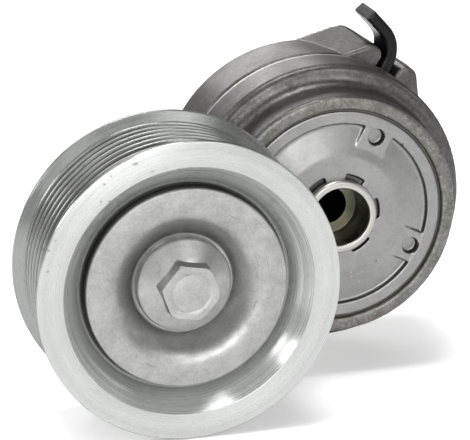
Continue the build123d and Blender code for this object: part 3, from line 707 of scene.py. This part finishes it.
def dust_cover():
    """Pressed cover: clamped centre, dished cone, flat annulus and rolled lip."""
    seat = BEARING_FRONT
    inner_r = COVER_R - COVER_T
    inner_face = COVER_FRONT - COVER_T
    rear_skin = [(COVER_HOLE_R, seat), (COVER_FOOT_R + COVER_SLANT, seat, COVER_FOOT_ROUND),
                 (COVER_DISH_R + COVER_SLANT, inner_face, 7.4), (inner_r, inner_face, 0.4)]
    lip = [(inner_r, COVER_FRONT - COVER_LIP), (COVER_R, COVER_FRONT - COVER_LIP, 0.2),
           (COVER_R, COVER_FRONT, 0.55)]
    front_skin = [(COVER_DISH_R, COVER_FRONT, 8.0),
                  (COVER_FOOT_R, seat + COVER_T, COVER_FOOT_ROUND), (COVER_HOLE_R, seat + COVER_T)]
    mesh = lathe_mesh("cover_pressing", rear_skin + lip + front_skin, PULLEY_AXIS)
    finish_mesh("cover_pressing", mesh, "arm", "zinc_steel", ["dust_cover"])


def hexagon_head():
    """Hexagon with eased corners and a chamfered top that carries a faint ring."""
    hexagon = []
    for k in range(SEGMENTS):
        off_flat = (2 * pi * k / SEGMENTS - HEX_TURN) % (pi / 3) - pi / 6
        hexagon.append(min(HEX_FLAT / cos(off_flat), HEX_CORNER - HEX_EASE))
    made = bmesh.new()
    foot = [r + HEX_FOOT_FLARE for r in hexagon]
    rows = [circle_row(made, foot, HEX_BASE - HEX_FOOT_SUNK, PULLEY_AXIS),
            circle_row(made, hexagon, HEX_BASE + 0.1, PULLEY_AXIS)]
    for k in range(HEX_CHAMFER_STEPS + 1):
        part = k / HEX_CHAMFER_STEPS
        limit = HEX_CORNER - (HEX_CORNER - HEX_TOP_R) * part
        drop = HEX_CHAMFER * (1 - part) ** 1.3
        rows.append(circle_row(made, [min(r, limit) for r in hexagon], BOLT_TOP - drop, PULLEY_AXIS))
    for r, drop in HEX_MARK:
        rows.append(circle_row(made, [r] * SEGMENTS, BOLT_TOP - drop, PULLEY_AXIS))
    for here, there in zip(rows, rows[1:]):
        join_rows(made, here, there)
    made.faces.new(rows[0])
    made.faces.new(rows[-1])
    return mesh_from(made, "head")


def hex_bolt():
    """Flange bolt: chamfered hexagon, cone flange and shank."""
    seat = BEARING_FRONT + COVER_T
    corners = [(0, BOLT_BACK), (BOLT_R - BOLT_POINT, BOLT_BACK), (BOLT_R, BOLT_BACK + BOLT_POINT),
               (BOLT_R, seat, 0.1), (BOLT_FLANGE_R, seat, 0.1), (BOLT_FLANGE_R, FLANGE_EDGE, 1.0),
               (HEX_FLAT, HEX_BASE), (0, HEX_BASE)]
    mesh = lathe_mesh("bolt", corners, PULLEY_AXIS)
    joined = bmesh.new()
    joined.from_mesh(mesh)
    joined.from_mesh(hexagon_head())
    joined.to_mesh(mesh)
    joined.free()
    finish_mesh("flange_bolt", mesh, "arm", "zinc_steel", ["pulley_bolt"], sharp=BOLT_SHARP)


# -------------------------------------------------------------------------- tube and castings
def pivot_tube():
    """Steel tube with its counterbore and the rounded lip staked over the plate."""
    corners = [(HOLE_R, 0, 0.3), (TUBE_R, 0, 0.3), (TUBE_R, PLATE_BACK), (SPIGOT_R, PLATE_BACK),
               (SPIGOT_R, PLATE_HUB), (STAKED_R, PLATE_HUB), (STAKED_R, TUBE_FRONT, 0.95),
               (COUNTERBORE_R, TUBE_FRONT, 0.6), (COUNTERBORE_R, COUNTERBORE_FLOOR, 0.3),
               (HOLE_R, COUNTERBORE_FLOOR, 0.35)]
    mesh = lathe_mesh("pivot_tube_turned", corners, PIVOT_AXIS, steps=8)
    finish_mesh("pivot_tube_turned", mesh, "base", "tube_steel", ["pivot_tube"])


def softened(name, node, body, slot, voxel, passes):
    """A softened CAD solid as one piece."""
    mesh = softened_mesh(node, voxel, passes)
    finish_mesh(name, mesh, body, slot, [node], sharp=None)


pulley()
dust_cover()
hex_bolt()
pivot_tube()
softened("housing_casting", "spring_housing", "base", "cast_aluminium", voxel=0.55, passes=4)
softened("arm_casting", "tensioner_arm", "arm", "cast_aluminium", voxel=0.75, passes=3)
softened("plate_casting", "front_plate", "base", "plate_casting", voxel=0.28, passes=2)
softened("strip_spring", "torsion_spring", "base", "black_spring_steel", voxel=0.46, passes=4)

# ------------------------------------------------------------------------ floor, light, camera
FLOOR_HALF = 6.0
FLOOR_GAP = 0.2 * MM
FLOOR_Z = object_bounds()[0][2] - FLOOR_GAP
FLOOR_GLOW = 0.3

VIEW_AZIMUTH = radians(15.91)
VIEW_ELEVATION = radians(17.66)
VIEW_DISTANCE = 0.8
VIEW_TARGET = Vector((-34.8, -57.7, 5.0)) * MM
SENSOR = 36.0
LENS = 214.5

# The surround goes from bright to dim between two values of a direction's x.
SKY_LEFT, SKY_RIGHT = -0.6, 0.7
SKY_BRIGHT, SKY_DIM = 0.50, 0.14

# Name, place, width, height and watts of each lamp.
LAMPS = [
    ("key", (-1.4, -0.25, 0.72), 0.9, 0.4, 11.0),
    ("front", (-0.12, -1.5, 0.25), 0.7, 0.45, 8.0),
    ("fill", (0.5, -1.35, 0.7), 0.5, 0.5, 4.0),
    ("back", (-0.1, 1.3, 0.75), 1.0, 0.4, 6.5),
    ("top", (-0.1, -0.1, 1.5), 0.4, 0.7, 14.0),
    ("side", (1.3, -0.4, 0.45), 0.35, 0.9, 2.5),
]


def floor():
    """Pale matt floor just under the object."""
    sides = ((-1, -1), (1, -1), (1, 1), (-1, 1))
    mesh = bpy.data.meshes.new("floor")
    mesh.from_pydata([(x * FLOOR_HALF, y * FLOOR_HALF, FLOOR_Z) for x, y in sides], [], [(0, 1, 2, 3)])
    paper = Nodes("floor_paper")
    paper.set(Base_Color=(0.93, 0.93, 0.93, 1.0), Roughness=0.9,
              Emission_Color=(1.0, 1.0, 1.0, 1.0), Emission_Strength=FLOOR_GLOW)
    mesh.materials.append(paper.material)
    made = bpy.data.objects.new("floor", mesh)
    bpy.context.scene.collection.objects.link(made)


def point_at(made, place, ahead):
    """Put a lamp or a camera at a place, looking along a direction, and link it."""
    made.location = place
    made.rotation_euler = ahead.to_track_quat("-Z", "Y").to_euler()
    bpy.context.scene.collection.objects.link(made)


def lamp(name, place, width, height, watts):
    """Soft rectangular light aimed where the camera looks."""
    data = bpy.data.lights.new(name, "AREA")
    data.shape = "RECTANGLE"
    data.size = width
    data.size_y = height
    data.energy = watts
    point_at(bpy.data.objects.new(name, data), place, VIEW_TARGET - Vector(place))


def world():
    """Soft surround, bright on the left and falling off to the right."""
    made = bpy.data.worlds.new("studio")
    bpy.context.scene.world = made
    made.use_nodes = True
    tree = made.node_tree
    sky = tree.nodes["Background"]
    sky.inputs["Color"].default_value = (1.0, 1.0, 1.0, 1.0)
    place = tree.nodes.new("ShaderNodeTexCoord").outputs["Generated"]
    parts = tree.nodes.new("ShaderNodeSeparateXYZ")
    tree.links.new(place, parts.inputs[0])
    fade = tree.nodes.new("ShaderNodeMapRange")
    tree.links.new(parts.outputs[0], fade.inputs["Value"])
    fade.inputs["From Min"].default_value = SKY_LEFT
    fade.inputs["From Max"].default_value = SKY_RIGHT
    fade.inputs["To Min"].default_value = SKY_BRIGHT
    fade.inputs["To Max"].default_value = SKY_DIM
    tree.links.new(fade.outputs[0], sky.inputs["Strength"])


def camera():
    """Camera in front of the object, a little to its left and above it."""
    data = bpy.data.cameras.new("view")
    data.sensor_width = SENSOR
    data.lens = LENS
    data.clip_start = 0.05
    data.clip_end = 30.0
    made = bpy.data.objects.new("view", data)
    level = cos(VIEW_ELEVATION)
    ahead = Vector((sin(VIEW_AZIMUTH) * level, cos(VIEW_AZIMUTH) * level, -sin(VIEW_ELEVATION)))
    point_at(made, VIEW_TARGET - ahead * VIEW_DISTANCE, ahead)
    bpy.context.scene.camera = made


floor()
camera()
world()
for settings in LAMPS:
    lamp(*settings)
bpy.context.scene.view_settings.view_transform = "Standard"
